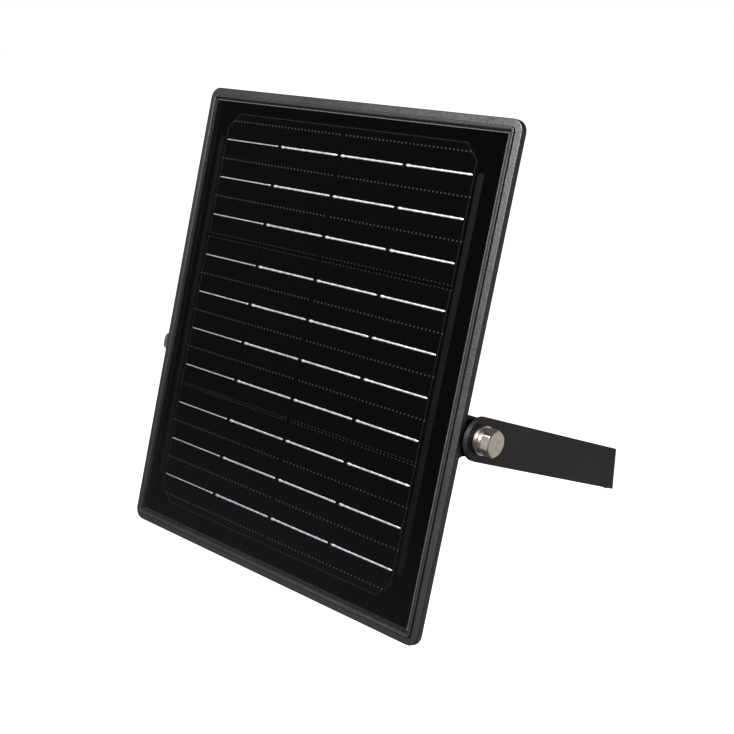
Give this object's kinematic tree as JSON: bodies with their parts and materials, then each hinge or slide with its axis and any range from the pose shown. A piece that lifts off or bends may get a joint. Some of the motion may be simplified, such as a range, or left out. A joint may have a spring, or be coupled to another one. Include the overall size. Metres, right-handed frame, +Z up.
{
  "type": "solar panel head",
  "caption": "Flat framed solar panel on a folded U bracket that screws to a wall; the panel tilts on two side bolts held by friction.",
  "frame": {"origin": "centre of the bracket bar's wall face, on the line of its screw holes", "axes": "+X along the bracket bar, to the right when the panel's face is looked at; +Y into the wall; +Z up"},
  "size_m": [0.1996, 0.1316, 0.2016],
  "materials": {
    "bracket_paint": "satin black powder coat",
    "textured_abs": "fine spark-eroded texture",
    "glass": "polished, ground edge",
    "clear_film": "clear film",
    "silicon": "blue-black, fine grid lines",
    "tinned_copper": "bright tinned",
    "coated_copper": "black coated",
    "backsheet": "black sheet",
    "black_rubber": "matt",
    "stainless": "cold-formed, lightly polished",
    "circuit_board": "solder-masked",
    "terminal_green": "moulded",
    "moulded_epoxy": "moulded",
    "bare_copper": "bare copper",
    "black_nylon": "smooth nylon",
    "brass": "turned"
  },
  "bodies": {
    "bracket": {"u_bracket": "bracket_paint"},
    "panel": {"panel_frame": "textured_abs", "cover_glass": "glass", "glass_sealant": "black_rubber", "front_encapsulant": "clear_film", "cell_row_top": "silicon", "cell_row_middle": "silicon", "cell_row_bottom": "silicon", "tabbing_ribbons": "tinned_copper", "series_links": "coated_copper", "end_bus_strips": "coated_copper", "rear_encapsulant": "clear_film", "backsheet": "backsheet", "seat_tape": "black_rubber", "back_cover": "textured_abs", "cover_gasket": "black_rubber", "cover_screws": "stainless", "junction_box": "textured_abs", "box_gasket": "black_rubber", "box_lid": "textured_abs", "lid_screws": "stainless", "terminal_board": "circuit_board", "terminal_block": "terminal_green", "blocking_diode": "moulded_epoxy", "output_tails": "bare_copper", "gland_body": "black_nylon", "gland_locknut": "black_nylon", "gland_seal": "black_rubber", "gland_nut": "black_nylon", "ear_inserts": "brass", "friction_discs": "black_rubber", "pivot_bolts": "stainless", "spring_washers": "stainless", "flat_washers": "stainless"}
  },
  "joints": [
    {"name": "panel_tilt", "type": "hinge", "parent": "bracket", "child": "panel", "pos_m": [0, -0.10092, 0.03926], "axis": [-1, 0, 0], "range_deg": [-90, 42]}
  ]
}
